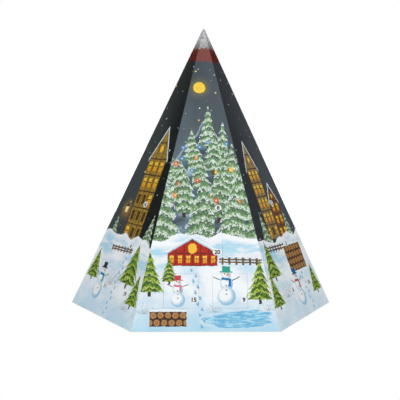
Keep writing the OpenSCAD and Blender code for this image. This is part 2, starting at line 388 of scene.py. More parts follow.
for mark, (stretch, detail, rough) in paint_marks.items():
    drawn = stretched(face_map, sheet, stretch)
    feed(face_map, out[mark], noise(face_map, drawn, 1.0, detail, rough, flat=True))

# Every motif of the picture gives a colour and the mask of where it lies.
picture = "Colour:c Mask:f"

# A full moon with a faint halo.
moon, (across, up, mottle, middle, level, radius), out = new_group(
    "moon", "Across:f Up:f Mottle:f Middle:f Level:f Radius:f", picture)
away = distance(across - middle, up - level)
disc = (radius - away).inside(0.3)
halo = (1 - away / (radius * 2.6)) | 0
feed(moon, out["Colour"], lay(mottle.ramp(0.45, 0.7) * 0.6, ink("#f6d34a"), ink("#e0a62c")))
feed(moon, out["Mask"], disc | halo * halo * 0.3)


# Uneven steps give every square of a grid a number of its own.
column_step = 7.31
row_step = 57.7


def strewn(tree, across, up, spacing, seed):
    """A spot in every square of a grid: the way from it across and up, and its lot."""
    column = (across / spacing).calc("FLOOR")
    row = (up / spacing).calc("FLOOR")
    red, green, lot = dice(tree, column * column_step + row * row_step + seed)
    aside = across - (column + red * 0.6 + 0.2) * spacing
    above = up - (row + green * 0.6 + 0.2) * spacing
    return aside, above, lot


# Four-pointed stars.
stars, (across, up, spacing, size, seed), out = new_group(
    "stars", "Across:f Up:f Spacing:f Size:f Seed:f", picture)
aside, above, lot = strewn(stars, across, up, spacing, seed)
bright = (lot * 9).calc("FRACT")
arms = abs(aside).calc("SQRT") + abs(above).calc("SQRT")
reach = (size * (bright * 0.6 + 0.5)).calc("SQRT")
feed(stars, out["Colour"], lay(bright.ramp(0.4, 0.6), ink("#e9f3fa"), ink("#f4d77a")))
feed(stars, out["Mask"], (reach - arms).inside(0.12) * lot.ramp(0.35, 0.36))

# Falling snow.
flakes, (across, up, spacing, seed), out = new_group(
    "flakes", "Across:f Up:f Spacing:f Seed:f", picture)
aside, above, lot = strewn(flakes, across, up, spacing, seed)
size = (lot * 9).calc("FRACT")
away = distance(aside, above)
feed(flakes, out["Colour"], lay(size, ink("#c9dde8"), ink("#f2f8fb")))
feed(flakes, out["Mask"], (size * 0.5 + 0.25 - away).inside(0.15) * lot.ramp(0.3, 0.31))

# A far hill in the dark, snowed over at its crest.
hill, (across, up, drift, middle, crest, slope, seed), out = new_group(
    "hill", "Across:f Up:f Drift:f Middle:f Crest:f Slope:f Seed:f", picture)
ridge = crest - abs(across - middle) * slope + (ripple(hill, across * 0.045 + seed) - 0.5) * 26
slope_paint = lay(drift.ramp(0.4, 0.62), ink("#3c4a55"), ink("#5f7482"))
slope_paint = lay(drift.ramp(0.58, 0.75), slope_paint, ink("#9fb6c4"))
rim = (ridge - up).ramp(6.0, 0.5) * 0.6
feed(hill, out["Colour"], lay(rim, slope_paint, ink("#b9ccd6")))
feed(hill, out["Mask"], (ridge - up).inside(0.4))

# A row of firs: tiers of needles hang over each other, dark inside and under each tier above as painted
# shade, light at the tips as a painted highlight, and frosted where lightest.
firs, fields, out = new_group(
    "firs",
    "Across:f Up:f Grain:f Mottle:f Foot:f Slope:f Spacing:f Shift:f "
    "Height:f Spread:f Frost:f Hair:f Seed:f Deep:c Leaf:c Tip:c",
    picture)
across, up, grain, mottle, foot, slope, spacing, shift = fields[:8]
height, spread, frost, hair, seed, shaded_needles, leaf, tip = fields[8:]
cell = ((across - shift) / spacing + 0.5).calc("FLOOR")
red, green, blue = dice(firs, cell * column_step + seed)
middle = shift + spacing * cell + (red - 0.5) * height * 0.2
tall = height * (green * 0.36 + 0.82)
side = abs(across - middle)
level = (up - foot + abs(middle) * slope - (blue - 0.5) * height * 0.14) / tall
tier = ((level + side / tall * 0.4) * 6.5 + (mottle - 0.5) * 1.8 + red).calc("FRACT")
needles = ripple(firs, (up + side * 0.7) * hair + mottle * 4 + cell * 9.7 + seed, 2.0, 0.6)
stroke = needles * 0.5 + grain * 0.5
reach = tall * spread * (1 - level) * (1 - tier * 0.4) + (stroke + mottle - 1) * tall * 0.07
crown = (reach - side).inside(0.35) * level.ramp(0.03, 0.06)
trunk = (tall * 0.035 - side).inside(0.2) * level.ramp(-0.07, -0.05) * level.ramp(0.12, 0.08)
# Painted shade and highlight: each tier is dark where it hangs under the tier above and light towards
# its tips.
light = (1 - tier) * 0.62 + stroke * 0.85
needle_paint = lay(light.ramp(0.4, 0.75), shaded_needles, leaf)
needle_paint = lay(light.ramp(0.72, 1.0), needle_paint, tip)
needle_paint = lay((light + frost).ramp(0.95, 1.2), needle_paint, ink("#e9f4f1"))
feed(firs, out["Colour"], lay(trunk * (1 - crown), needle_paint, ink("#3a2a1c")))
feed(firs, out["Mask"], crown | trunk)

# A timbered house with rows of windows, some of them dark, an attic window and snow on its gable.
lit_house, fields, out = new_group(
    "lit_house",
    "Across:f Up:f Streak:f Middle:f Foot:f Width:f Wall:f Roof:f "
    "Columns:f Rows:f Asleep:f Plaster:c",
    picture)
across, up, streak, middle, foot, width, wall, roof, columns, rows, asleep, plaster = fields
offset = across - middle
edge = width * 0.5 - abs(offset)
level = up - foot
gable = wall + roof * (1 - abs(offset) / width * 2)
walls = edge.inside(0.25) * level.inside(0.25) * (gable - level).inside(0.25)
load = (edge + 2.6).inside(0.3) * (gable + 4.2 - level).inside(0.4) * (level - gable).inside(0.3)
bays = (offset / width + 0.5) * columns
storeys = level / wall * rows
bay = bays.calc("FRACT")
storey = storeys.calc("FRACT")
storey_floor = storeys.calc("FLOOR")
window = bays.calc("FLOOR") * column_step + storey_floor * row_step + middle
awake = (dice(lit_house, window)[0] + (storey_floor / rows - asleep) * 1.5).ramp(0.0, 0.02)
pane = (0.25 - abs(bay - 0.5)).ramp(0, 0.03) * (0.3 - abs(storey - 0.52)).ramp(0, 0.03)
pane = pane * (wall - level).ramp(0, 0.6)
attic_x = offset / (width * 0.09)
attic_y = (level - wall - roof * 0.34) / (width * 0.11)
attic = (1 - attic_x * attic_x - attic_y * attic_y).ramp(-0.1, 0.2)
bars = (0.03 - abs(bay - 0.5)).ramp(0, 0.02) | (0.04 - abs(storey - 0.56)).ramp(0, 0.02)
posts = (abs(bay - 0.5) - 0.44).ramp(0, 0.02) | (abs(storey - 0.5) - 0.45).ramp(0, 0.02)
front = lay(streak.ramp(0.3, 0.7) * 0.45, plaster, ink("#2a1c12"))
front = lay(posts * 0.85, front, ink("#33241a"))
glow = lay(storey.ramp(0.2, 0.85), ink("#e79a1e"), ink("#ffd84a"))
glow = lay(awake, ink("#453416"), glow)
front = lay(pane, front, lay(bars, glow, ink("#5a3a16")))
front = lay(attic, front, ink("#f7c63c"))
snow_top = lay((level - gable).ramp(0.5, 3.0), ink("#a9cfe2"), ink("#f4f9fc"))
feed(lit_house, out["Colour"], lay(load, front, snow_top))
feed(lit_house, out["Mask"], walls | load)

# A street lamp and its glow.
lamp_post, (across, up, middle, foot, height), out = new_group(
    "lamp_post", "Across:f Up:f Middle:f Foot:f Height:f", picture)
side = abs(across - middle)
level = up - foot
over = level - height
post = (0.8 - side).inside(0.2) * level.inside(0.2) * over.ramp(0.2, -0.2)
glass = (over * 0.22 + 2.4 - side).inside(0.2) * over.inside(0.2) * over.ramp(8.2, 7.8)
cap = ((12.5 - over) * 1.1 - side).inside(0.2) * over.ramp(7.8, 8.2)
shine = (1 - distance(side, over - 4) / 19) | 0
iron = post | cap
feed(lamp_post, out["Colour"], lay(iron, lay(glass, ink("#e8a83a"), ink("#ffe9a0")), ink("#1f2226")))
feed(lamp_post, out["Mask"], iron | glass | shine * shine * 0.6)

# Paper lanterns, hung among the firs between two heights.
lanterns, (across, up, spacing, radius, low, high, seed), out = new_group(
    "lanterns", "Across:f Up:f Spacing:f Radius:f Low:f High:f Seed:f", picture)
aside, above, lot = strewn(lanterns, across, up, spacing, seed)
hue = (lot * 9).calc("FRACT")
hang = up - above
away = distance(aside, above)
lit = hang.ramp(low, low + 0.1) * hang.ramp(high, high - 0.1) * lot.ramp(0.25, 0.26)
ball = (radius - away).inside(0.25)
heart = (radius * 0.45 - away).ramp(-0.3, 0.5)
paper = lay(hue.ramp(0.3, 0.31), ink("#f0c02e"), ink("#d8452f"))
paper = lay(hue.ramp(0.55, 0.56), paper, ink("#e88a2b"))
paper = lay(hue.ramp(0.75, 0.76), paper, ink("#4f8fc4"))
halo = (1 - away / (radius * 2.8)) | 0
feed(lanterns, out["Colour"], lay(heart * 0.7, paper, ink("#fff1c2")))
feed(lanterns, out["Mask"], (ball | halo * halo * 0.5) * lit)

# Snow in pale blue washes under a wavy crest.
snow_field, (across, up, broad, drift, streak, grain, edge, wash, seed), out = new_group(
    "snow_field", "Across:f Up:f Broad:f Drift:f Streak:f Grain:f Edge:f Wash:f Seed:f", picture)
swell = ripple(snow_field, across * 0.025 + seed, 1.0)
crest = edge + (swell - 0.5) * 26 + (grain - 0.5) * 4
below = crest - up
snow = lay(broad.ramp(0.35, 0.65), ink("#f8fdff"), ink("#e9eff7"))
snow = lay((drift * 0.6 + broad * 0.4).ramp(0.47, 0.7) * 0.7, snow, ink("#c3e7f6"))
bank = below.ramp(3.0, 12.0) * below.ramp(46.0, 16.0)
snow = lay(bank * (drift + streak * 0.15).ramp(0.46, 0.68) * 0.8, snow, ink("#9fd6ed"))
snow = lay(streak.ramp(0.64, 0.73) * drift.ramp(0.46, 0.62) * 0.35, snow, ink("#78b4d6"))
snow = lay((up + (drift - 0.5) * 50).ramp(48.0, 0.0) * wash, snow, ink("#88d0ee"))
snow = lay(below.ramp(5.0, 1.0) * 0.6, snow, ink("#f8fcfe"))
feed(snow_field, out["Colour"], snow)
feed(snow_field, out["Mask"], below.inside(0.5))

# A fence of stakes and two rails, a little snow on every stake.
fence, (across, up, brush, left, right, foot, height, rise), out = new_group(
    "fence", "Across:f Up:f Brush:f Left:f Right:f Foot:f Height:f Rise:f", picture)
level = up - foot - across * rise
span = (across - left).inside(0.2) * (right - across).inside(0.2)
stake = (0.17 - abs((across / 8).calc("FRACT") - 0.5)).ramp(0, 0.03)
stakes = stake * level.inside(0.2) * (height - level).inside(0.2)
low_rail = (0.9 - abs(level - height * 0.35)).inside(0.2)
high_rail = (0.9 - abs(level - height * 0.72)).inside(0.2)
caps = stake * (level - height).inside(0.2) * (height + 1.8 - level).inside(0.3)
timber = lay(brush.ramp(0.35, 0.7), ink("#4a3322"), ink("#8b6a48"))
feed(fence, out["Colour"], lay(caps, timber, ink("#f4f9fc")))
feed(fence, out["Mask"], (stakes | low_rail | high_rail | caps) * span)

# A frozen pond.
pond, (across, up, drift, streak, middle, level, width, height), out = new_group(
    "pond", "Across:f Up:f Drift:f Streak:f Middle:f Level:f Width:f Height:f", picture)
far_x = (across - middle) / width * 2
far_y = (up - level) / height * 2
shore = 1 - distance(far_x, far_y) + (drift - 0.5) * 0.9
ice = lay(streak.ramp(0.4, 0.65), ink("#6db6de"), ink("#aedff2"))
feed(pond, out["Colour"], lay(shore.ramp(0.12, 0.0), ice, ink("#d5ecf6")))
feed(pond, out["Mask"], shore.inside(0.03))

# A snowman of three balls, with hat, scarf, coal buttons and twigs for arms.
snowman, (across, up, middle, foot, size, hat, wool), out = new_group(
    "snowman", "Across:f Up:f Middle:f Foot:f Size:f Hat:c Wool:c", picture)
side = (across - middle) / size
level = (up - foot) / size


def snowball(height, radius, lit=0.0, blur=0.012):
    """A ball, or the part of it that the light from the upper left reaches."""
    return (radius - distance(side + lit, level - height - lit)).inside(blur)


body = snowball(0.22, 0.24) | snowball(0.54, 0.17) | snowball(0.78, 0.12)
sunny = snowball(0.22, 0.19, lit=0.04, blur=0.07) | snowball(0.54, 0.13, lit=0.03, blur=0.06)
sunny = sunny | snowball(0.78, 0.1, lit=0.015, blur=0.04)
scarf = (0.135 - abs(side)).inside(0.01) * (0.032 - abs(level - 0.675 + side * 0.1)).inside(0.008)
tail = (0.03 - abs(side - 0.09)).inside(0.008) * (0.1 - abs(level - 0.57)).inside(0.008)
brim = (0.17 - abs(side)).inside(0.01) * (0.018 - abs(level - 0.865)).inside(0.008)
crown = (0.105 - abs(side)).inside(0.01) * (0.085 - abs(level - 0.94)).inside(0.008)
arms = (0.014 - abs(level - 0.56 - abs(side) * 0.5)).inside(0.008)
arms = arms * abs(side).ramp(0.14, 0.16) * abs(side).ramp(0.36, 0.34)
coal = (0.16 - abs((level * 9).calc("FRACT") - 0.5)).ramp(0, 0.05)
coal = coal * (0.022 - abs(side)).inside(0.008) * level.ramp(0.23, 0.25) * level.ramp(0.57, 0.55)
eyes = (0.018 - distance(abs(side) - 0.045, level - 0.815)).inside(0.006)
nose = (0.025 - abs(level - 0.78) - side * 0.2).inside(0.008)
nose = nose * side.inside(0.01) * side.ramp(0.13, 0.11)
rolled = lay(sunny, ink("#93c3de"), ink("#f6fafc"))
rolled = lay(coal | eyes, rolled, ink("#23262a"))
rolled = lay(nose, rolled, ink("#e27a22"))
rolled = lay(arms, rolled, ink("#4a3322"))
rolled = lay(scarf | tail, rolled, wool)
feed(snowman, out["Colour"], lay(brim | crown, rolled, hat))
feed(snowman, out["Mask"], body | scarf | tail | brim | crown | arms)

# Stacked logs, seen from their sawn ends, under a blanket of snow.
log_pile, (across, up, grain, middle, foot, width, height, log), out = new_group(
    "log_pile", "Across:f Up:f Grain:f Middle:f Foot:f Width:f Height:f Log:f", picture)
level = up - foot
course = (level / log).calc("FLOOR")
stagger = across - middle + (course * 0.5).calc("FRACT") * log
end_x = (stagger / log).calc("FRACT") - 0.5
end_y = (level / log).calc("FRACT") - 0.5
ring = distance(end_x, end_y)
sawn = lay((ring * 3.4 + grain * 0.5).calc("FRACT").ramp(0.2, 0.8), ink("#b98d5c"), ink("#8f6436"))
sawn = lay(ring.ramp(0.4, 0.47), sawn, ink("#3f2c1d"))
side = abs(across - middle)
stack = (width * 0.5 - side).inside(0.3) * level.inside(0.3) * (height - level).inside(0.3)
blanket = (width * 0.5 + 1.5 - side).ramp(-0.5, 1.0) * (level - height).ramp(-0.6, 0.2)
blanket = blanket * (height + 3.4 - level - side * 0.06).inside(0.4)
feed(log_pile, out["Colour"], lay(blanket, sawn, ink("#eef6fa")))
feed(log_pile, out["Mask"], stack | blanket)

# A bare bush, its twigs spread from the foot like a fan.
bush, (across, up, mottle, middle, foot, size, bark), out = new_group(
    "bush", "Across:f Up:f Mottle:f Middle:f Foot:f Size:f Bark:c", picture)
aside = (across - middle) / size
above = (up - foot) / size
away = distance(aside, above)
around = aside.calc("ARCTAN2", above) * 3.6 + (mottle - 0.5) * 2.4
thickness = (away + 0.12).calc("POWER", -1) * 0.05
twigs = (thickness - abs(around.calc("FRACT") - 0.5)).ramp(0.0, 0.06)
feed(bush, out["Colour"], lay(mottle.ramp(0.5, 0.6), bark, ink("#8a6a4c")))
feed(bush, out["Mask"], twigs * away.ramp(1.0, 0.85) * above.ramp(-0.02, 0.04))

# A track of footprints, left and right by turns.
footprints, (across, up, middle, foot, top, lean_over), out = new_group(
    "footprints", "Across:f Up:f Middle:f Foot:f Top:f Lean:f", picture)
stride = (up - foot) / 6.5
step = stride.calc("FLOOR")
left_right = (step * 0.5).calc("FRACT") * 8 - 2
heel_x = (across - middle - (up - foot) * lean_over - left_right) / 1.5
heel_y = (stride - step - 0.5) * 2.6
print_mark = (1 - heel_x * heel_x - heel_y * heel_y).ramp(-0.2, 0.3)
feed(footprints, out["Colour"], lay(heel_y.ramp(-0.8, 0.6), ink("#6fa6c8"), ink("#a6cbe0")))
feed(footprints, out["Mask"], print_mark * up.ramp(foot, foot + 1) * up.ramp(top, top - 1))

# The burning end of a cone: a ragged ember band, and ash above it that is sooty low down.
glowing_tip, (up, fold, grain, mottle, ember, ash, soot, glow, char), out = new_group(
    "glowing_tip", "Up:f Fold:f Grain:f Mottle:f Ember:f Ash:f Soot:f Glow:c Char:c", picture)
burnt = lay(mottle.ramp(0.3, 0.7), char, glow)
burnt = lay((up - ash + (mottle - 0.5) * 8).ramp(-6.0, 0.0) * 0.5, burnt, ink("#6b4638"))
crumbs = grain * 0.5 + mottle * 0.5
grey = lay(crumbs.ramp(0.36, 0.62), ink("#747474"), ink("#b4b6ba"))
# Painted highlight: the ash is lighter along the middle of each face, and darker within a few
# millimetres of the folds.
ash_highlight = fold.inside(4.0)
scorch = (ash + 14 - up + (mottle - 0.5) * 14).ramp(0.0, 14.0) * soot
grey = lay(ash_highlight * crumbs.ramp(0.36, 0.58) * (1 - scorch) * 0.65, grey, ink("#e0e3e6"))
grey = lay(scorch * crumbs.ramp(0.66, 0.4), grey, ink("#57524d"))
grey = lay(scorch * mottle.ramp(0.5, 0.62) * 0.6, grey, ink("#8a5546"))
ashes = (up - ash + (grain - 0.5) * 9 + (mottle - 0.5) * 7).inside(1.0)
feed(glowing_tip, out["Colour"], lay(ashes, burnt, grey))
feed(glowing_tip, out["Mask"], (up - ember + (grain - 0.5) * 4).inside(2.2))

# The motifs of each face, from the back of its picture to the front.
# The Shaded green is the painted shade inside a fir.
night_fir = dict(Deep=ink("#334a39"), Leaf=ink("#6b9164"), Tip=ink("#b4d09e"))
day_fir = dict(Deep=ink("#1d3412"), Leaf=ink("#4f761c"), Tip=ink("#b0c63e"))


def fir_row(foot, height, spacing, shift, seed, slope=0.0, spread=0.33):
    """A row of snowed firs in the dark, falling to both sides by the slope."""
    return (firs, dict(Foot=foot, Height=height, Spacing=spacing, Shift=shift, Seed=seed, Slope=slope,
                       Frost=0.14, Hair=0.8, Spread=spread, **night_fir))


def lone_fir(foot, height, middle, seed, spread=0.4):
    """One fir on the snow: the row's spacing is wider than a face."""
    return (firs, dict(Foot=foot, Height=height, Spacing=400.0, Shift=middle, Seed=seed, Slope=0.0,
                       Frost=0.0, Hair=0.45, Spread=spread, **day_fir))


def bare_bush(middle, foot, size):
    return (bush, dict(Middle=middle, Foot=foot, Size=size, Bark=ink("#3b2a20")))


def cottage(middle, foot, width, wall, roof, columns, rows, plaster, asleep=0.0):
    """A house with lit windows; the lower storeys go dark first as more of it is asleep."""
    return (lit_house, dict(Middle=middle, Foot=foot, Width=width, Wall=wall, Roof=roof,
                            Columns=columns, Rows=rows, Plaster=ink(plaster), Asleep=asleep))


def sky(spacing, size, seed):
    """Stars and falling snow."""
    return [(stars, dict(Spacing=spacing, Size=size, Seed=seed)),
            (flakes, dict(Spacing=spacing * 0.6, Seed=seed + 5))]


scenery = {
    "front": [
        *sky(31.0, 2.4, 3.0),
        (moon, dict(Middle=-6.0, Level=302.0, Radius=7.5)),
        (hill, dict(Middle=0.0, Crest=258.0, Slope=1.4, Seed=4.0)),
        fir_row(228.0, 54.0, 18.0, 1.0, 17.0, 1.7, 0.28),
        fir_row(204.0, 56.0, 20.0, 10.0, 31.0, 1.3, 0.3),
        (lanterns, dict(Spacing=18.0, Radius=2.4, Low=175.0, High=240.0, Seed=2.0)),
        fir_row(172.0, 62.0, 25.0, -3.0, 23.0, 0.7, 0.33),
        (lanterns, dict(Spacing=21.0, Radius=2.7, Low=150.0, High=205.0, Seed=8.0)),
        fir_row(136.0, 70.0, 30.0, 11.0, 6.0, 0.1, 0.35),
        (lanterns, dict(Spacing=24.0, Radius=2.9, Low=116.0, High=165.0, Seed=7.0)),
        fir_row(101.0, 74.0, 38.0, -8.0, 15.0, 0.0, 0.37),
        (snow_field, dict(Edge=111.0, Wash=0.6, Seed=1.0)),
        (pond, dict(Middle=38.0, Level=14.0, Width=84.0, Height=22.0)),
        (footprints, dict(Middle=-2.0, Foot=3.0, Top=75.0, Lean=-0.18)),
        cottage(-15.0, 76.0, 58.0, 15.0, 17.0, 6.0, 1.0, "#c42a22"),
        (fence, dict(Left=16.0, Right=66.0, Foot=78.0, Height=9.0, Rise=-0.02)),
        bare_bush(-70.0, 20.0, 15.0),
        lone_fir(44.0, 46.0, -60.0, 4.0),
        lone_fir(58.0, 28.0, -42.0, 9.0),
        (log_pile, dict(Middle=-43.0, Foot=6.0, Width=42.0, Height=17.0, Log=8.5)),
        lone_fir(34.0, 50.0, 63.0, 14.0),
        bare_bush(72.0, 24.0, 15.0),
        bare_bush(10.0, 22.0, 12.0),
        (snowman, dict(Middle=24.0, Foot=31.0, Size=44.0, Hat=ink("#2c9c88"), Wool=ink("#1276ae"))),
        (snowman, dict(Middle=-32.0, Foot=29.0, Size=35.0, Hat=ink("#c8424a"), Wool=ink("#d9798f"))),
    ],
    "front_right": [
        *sky(38.0, 2.6, 9.0),
        cottage(-8.0, 102.0, 30.0, 92.0, 34.0, 3.0, 5.0, "#a0885a", 0.3),
        cottage(22.0, 100.0, 25.0, 48.0, 22.0, 2.0, 3.0, "#8a5a3a"),
        fir_row(96.0, 40.0, 72.0, 38.0, 5.0),
        (snow_field, dict(Edge=103.0, Wash=0.25, Seed=6.0)),
        (fence, dict(Left=-50.0, Right=6.0, Foot=86.0, Height=9.0, Rise=-0.03)),
        lone_fir(54.0, 44.0, -50.0, 3.0, 0.52),
        (log_pile, dict(Middle=28.0, Foot=56.0, Width=52.0, Height=34.0, Log=8.5)),
        lone_fir(26.0, 40.0, -64.0, 13.0, 0.5),
        bare_bush(-30.0, 30.0, 22.0),
        lone_fir(22.0, 42.0, 62.0, 7.0, 0.5),
        (snowman, dict(Middle=8.0, Foot=14.0, Size=46.0, Hat=ink("#1f5f93"), Wool=ink("#c23a3a"))),
        (footprints, dict(Middle=34.0, Foot=3.0, Top=54.0, Lean=-0.1)),
    ],
    "front_left": [
        *sky(40.0, 2.6, 5.0),
        cottage(6.0, 98.0, 42.0, 108.0, 40.0, 3.0, 5.0, "#a98a3a", 0.6),
        (lamp_post, dict(Middle=-28.0, Foot=92.0, Height=40.0)),
        fir_row(94.0, 36.0, 88.0, -43.0, 8.0),
        (snow_field, dict(Edge=104.0, Wash=0.4, Seed=11.0)),
        (fence, dict(Left=-30.0, Right=24.0, Foot=82.0, Height=8.0, Rise=0.03)),
        lone_fir(42.0, 46.0, -54.0, 12.0, 0.52),
        bare_bush(-2.0, 40.0, 24.0),
        lone_fir(42.0, 52.0, 33.0, 2.0, 0.52),
        lone_fir(24.0, 42.0, 62.0, 5.0, 0.46),
        bare_bush(50.0, 18.0, 18.0),
        (snowman, dict(Middle=-30.0, Foot=18.0, Size=46.0, Hat=ink("#2a3338"), Wool=ink("#1f7fa8"))),
        (footprints, dict(Middle=8.0, Foot=3.0, Top=78.0, Lean=0.08)),
    ],
    "back_right": [
        *sky(28.0, 2.6, 14.0),
        (hill, dict(Middle=20.0, Crest=190.0, Slope=0.8, Seed=9.0)),
        fir_row(140.0, 46.0, 24.0, 4.0, 21.0),
        (lanterns, dict(Spacing=21.0, Radius=2.2, Low=112.0, High=170.0, Seed=9.0)),
        fir_row(102.0, 60.0, 36.0, -9.0, 25.0),
        (snow_field, dict(Edge=104.0, Wash=0.4, Seed=16.0)),
        (fence, dict(Left=-60.0, Right=30.0, Foot=74.0, Height=9.0, Rise=0.03)),
        (log_pile, dict(Middle=-34.0, Foot=52.0, Width=34.0, Height=17.0, Log=8.5)),
        lone_fir(34.0, 46.0, 60.0, 24.0),
        lone_fir(56.0, 30.0, 30.0, 27.0),
    ],
    "back": [
        *sky(30.0, 2.6, 17.0),
        (moon, dict(Middle=-4.0, Level=262.0, Radius=8.0)),
        cottage(-30.0, 100.0, 26.0, 34.0, 20.0, 2.0, 2.0, "#8a4a30"),
        cottage(0.0, 100.0, 30.0, 60.0, 26.0, 3.0, 3.0, "#9a6a2c", 0.4),
        cottage(31.0, 100.0, 26.0, 42.0, 20.0, 2.0, 2.0, "#7d7266"),
        (snow_field, dict(Edge=104.0, Wash=0.4, Seed=21.0)),
        (pond, dict(Middle=-34.0, Level=14.0, Width=66.0, Height=18.0)),
        lone_fir(44.0, 44.0, 60.0, 31.0),
        lone_fir(54.0, 38.0, -58.0, 33.0),
        (snowman, dict(Middle=22.0, Foot=28.0, Size=40.0, Hat=ink("#7a3f8f"), Wool=ink("#d08a2a"))),
    ],
    "back_left": [
        *sky(27.0, 2.6, 24.0),
        (hill, dict(Middle=-25.0, Crest=205.0, Slope=0.9, Seed=14.0)),
        fir_row(150.0, 44.0, 22.0, 2.0, 41.0),
        fir_row(103.0, 58.0, 37.0, 14.0, 45.0),
        (lanterns, dict(Spacing=21.0, Radius=2.2, Low=112.0, High=180.0, Seed=13.0)),
        (snow_field, dict(Edge=104.0, Wash=0.4, Seed=26.0)),
        cottage(-26.0, 74.0, 27.0, 15.0, 14.0, 3.0, 1.0, "#b3261f"),
        (fence, dict(Left=4.0, Right=62.0, Foot=76.0, Height=9.0, Rise=-0.03)),
        (pond, dict(Middle=-24.0, Level=14.0, Width=80.0, Height=20.0)),
        lone_fir(36.0, 46.0, 60.0, 44.0),
        lone_fir(46.0, 34.0, -62.0, 47.0),
    ],
}

# Inks of the night and the embers, and how sooty the ash is. The front is printed paler than the rest, a
# painted sheen of the light in front; the left front wall's night is darker.
night_sheen_and_shade_inks = {face: ("#3a4146", "#474f55", "#32383c") for face in scenery}
# Painted sheen: the front's night inks are paler.
night_sheen_and_shade_inks["front"] = ("#384348", "#5f6d75", "#48535a")
night_sheen_and_shade_inks["front_right"] = ("#383b40", "#484e54", "#2d3135")
night_sheen_and_shade_inks["front_left"] = ("#2a2d2d", "#3f4647", "#141818")
ember_and_sheen_inks = {face: ("#5a1b14", "#4b120d") for face in scenery}
# Painted sheen: the front's ember inks are paler.
ember_and_sheen_inks["front"] = ("#7e463f", "#713b35")
ash_soot = {face: 0.9 for face in scenery}
ash_soot["front"] = 0.4
# Painted shade: each face's night is printed darker towards one of its folds, the two front side walls
# towards their fold with the front.
shady_side = {"front_right": -1.0, "front_left": 1.0}
night_foot, night_top, night_drift = 180.0, 330.0, 80.0
fold_shade_from, fold_shade_to, fold_shade_drift = -28.0, 26.0, 10.0
ember_foot = 338.1
ember_radius = 20.0
ember_tilt = 1.4
ash_foot = 356.5
rub_top, rub_full = 110.0, 90.0
ink_depth, board_depth = 0.12, 0.25
turns = {name: index * math.tau / 6 for index, name in enumerate(
    ("front", "front_right", "back_right", "back", "back_left", "front_left"))}
prints = {}
for face, (high, low, shade) in night_sheen_and_shade_inks.items():
    made, tree, shader, place = new_material(f"print_{face}")
    mapped = placed(tree, face_map, Place=place, Turn=turns[face])
    sheet = {field.socket.name: field for field in mapped}
    across, up, floor = sheet["Across"], sheet["Up"], sheet["Floor"]
    night = (up + (sheet["Broad"] - 0.5) * night_drift).ramp(night_foot, night_top)
    # Painted shade, in the third night ink, darkening towards a fold.
    fold_shade = across * shady_side.get(face, 1.0) + (sheet["Brush"] - 0.5) * fold_shade_drift
    colour = lay(night, ink(low), ink(high))
    colour = lay(fold_shade.ramp(fold_shade_from, fold_shade_to), colour, ink(shade))
    glow, char = ember_and_sheen_inks[face]
    tilt = across * (math.cos(turns[face]) / ember_radius) + math.sin(turns[face])
    ember = ember_foot - tilt * ember_tilt
    burning = dict(Ember=ember, Ash=ash_foot, Soot=ash_soot[face], Glow=ink(glow), Char=ink(char))
    for group, values in scenery[face] + [(glowing_tip, burning)]:
        marks = {name: field for name, field in sheet.items() if name in group.interface.items_tree}
        over, mask = placed(tree, group, **marks, **values)
        colour = lay(mask, colour, over)
    tone, _, height = placed(tree, card_fibre, Place=place)
    rub = sheet["Mottle"]
    worn = (rub * 0.9 - sheet["Fold"]).ramp(0.0, 0.25) * floor.ramp(rub_top, rub_full) * 0.4
    worn = worn | (rub * 1.4 - floor).ramp(0.2, 0.6)
    colour = lay(worn, colour, ink("#d8d5cd"))
    cut = sheet["Depth"].ramp(ink_depth, board_depth)
    colour = lay(cut, colour, lay(tone, ink("#d4d0c6"), ink("#eae7df")))
    feed(tree, shader.inputs["Base Color"], colour)
    feed(tree, shader.inputs["Roughness"], sheet["Broad"] * 0.12 + worn * 0.15 + cut * 0.35 + 0.38)
    shader.inputs["Specular IOR Level"].default_value = 0.25
    raise_grain(tree, shader, height, depth=0.00003)
    prints[face] = made
    dress(nodes[f"panel_{face}"], made)

days = range(1, 25)
door_face = {}
for day in days:
    low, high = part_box(f"door_{day:02d}")
    middle = (low + high) / 2
    around = math.atan2(middle.x, -middle.y) % math.tau
    door_face[day] = min(turns, key=lambda face: abs(math.remainder(turns[face] - around, math.tau)))
    dress(nodes[f"door_{day:02d}"], prints[door_face[day]])


# Day numbers.
# A dark numeral in a white cloud is printed near the lower right corner of every door.
# It is a thin film of ink, modelled a few hundredths of a millimetre proud, and it turns with its door.
cloud_radius = 0.0037
cloud_margin = 0.0018
edge_room = 0.0006
number_height = 0.0100
numeral_height = 0.0048
numeral_share = 0.69  # of the letter's whole size
stroke_swell = 0.00028
film = 0.00003
numeral_lift = film * 1.4
weld_gap = 1e-7
middle_gap = 1e-6
snow_line = 0.08


def number_film(name, dark, light):
    """A film of printer's ink over the fibres of the board."""
    made, tree, shader, place = new_material(name)
    tone, _, height = placed(tree, card_fibre, Place=place)
    feed(tree, shader.inputs["Base Color"], lay(tone, ink(dark), ink(light)))
    feed(tree, shader.inputs["Roughness"], tone * 0.1 + 0.4)
    raise_grain(tree, shader, height, depth=0.00002)
    return made


def add_object(name, data):
    made = bpy.data.objects.new(name, data)
    bpy.context.scene.collection.objects.link(made)
    return made


number_white = number_film("number_white", "#eceeee", "#fafbfb")
number_ink = number_film("number_ink", "#191d28", "#2b3040")

